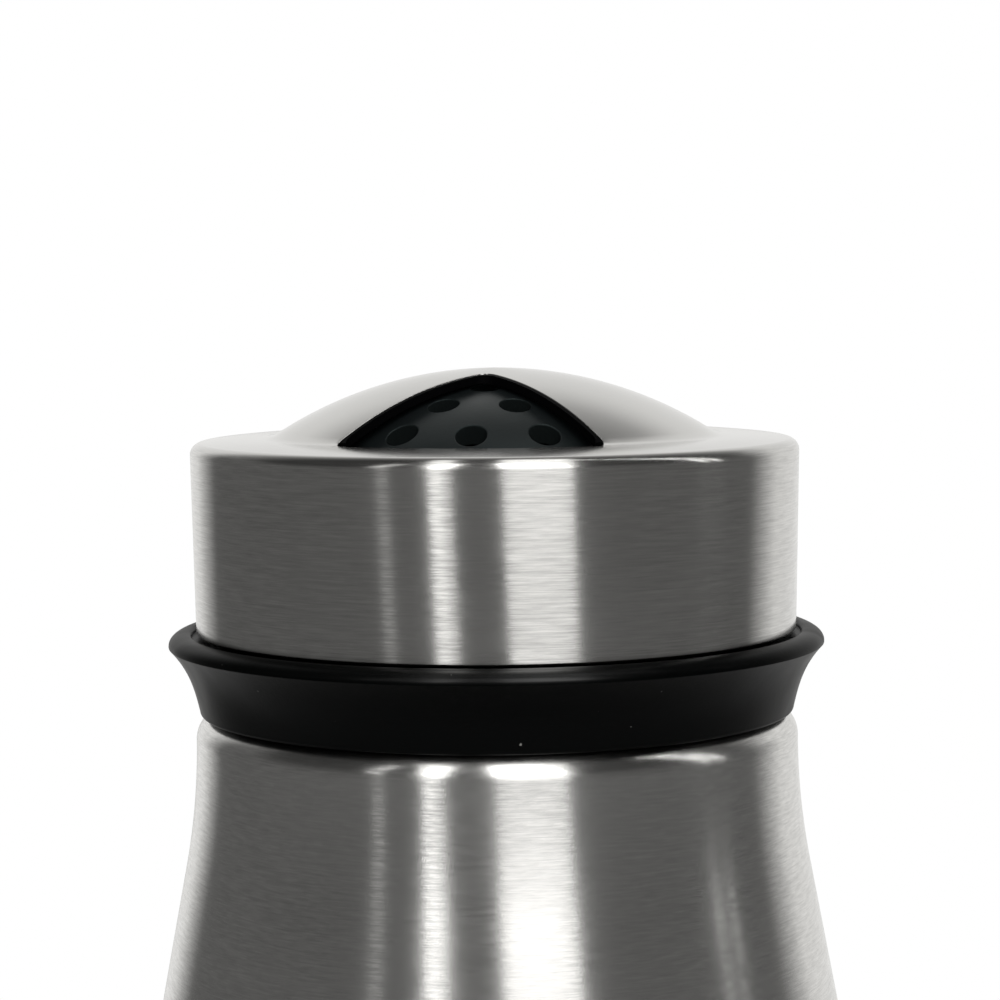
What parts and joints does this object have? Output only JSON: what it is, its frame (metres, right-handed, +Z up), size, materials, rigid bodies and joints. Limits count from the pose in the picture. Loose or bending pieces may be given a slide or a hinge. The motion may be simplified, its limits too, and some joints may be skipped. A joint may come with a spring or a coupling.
{
  "type": "twist-top spice shaker",
  "caption": "Twist-top spice shaker: glass jar in a bell-shaped steel sleeve, black flared collar, sifter dome with sprinkle holes and a turning steel cap with a window.",
  "frame": {"origin": "middle of the base, on the surface that the shaker stands on", "axes": "+Z up along the shaker's axis, -Y towards the front, which the cap's window faces at rest"},
  "size_m": [0.0634, 0.0634, 0.1191],
  "materials": {
    "jar_glass": "clear, polished",
    "sleeve_steel": "brushed round the axis, satin",
    "washer_rubber": "matt",
    "cushion_rubber": "matt",
    "seal_rubber": "matt silicone",
    "collar_plastic": "moulded, slight sheen",
    "sifter_plastic": "moulded, semi-gloss",
    "cap_steel": "finely brushed round the axis, smoother on top",
    "carrier_plastic": "moulded, matt",
    "pivot_steel": "plain bright steel"
  },
  "bodies": {
    "jar": {"glass_jar": "jar_glass", "body_sleeve": "sleeve_steel", "neck_washer": "washer_rubber", "sleeve_cushion": "cushion_rubber"},
    "seal": {"lid_seal": "seal_rubber"},
    "lid": {"collar": "collar_plastic", "sifter": "sifter_plastic"},
    "cap": {"cap_shell": "cap_steel", "cap_carrier": "carrier_plastic", "pivot_spring": "pivot_steel", "pivot_washer": "pivot_steel", "pivot_screw": "pivot_steel", "click_spring": "pivot_steel"}
  },
  "joints": [
    {"name": "lid_rise", "type": "slide", "parent": "jar", "child": "seal", "axis": [0, 0, 1], "range_m": [0, 0.0194]},
    {"name": "lid_turn", "type": "hinge", "parent": "seal", "child": "lid", "pos_m": [0, 0, 0.1], "axis": [0, 0, 1], "range_deg": [0, 2160]},
    {"name": "cap_turn", "type": "hinge", "parent": "lid", "child": "cap", "pos_m": [0, 0, 0.115], "axis": [0, 0, 1], "continuous": true}
  ],
  "couplings": [
    {"joint": "lid_rise", "follows": "lid_turn", "m_per_rad": 0.0005093}
  ]
}
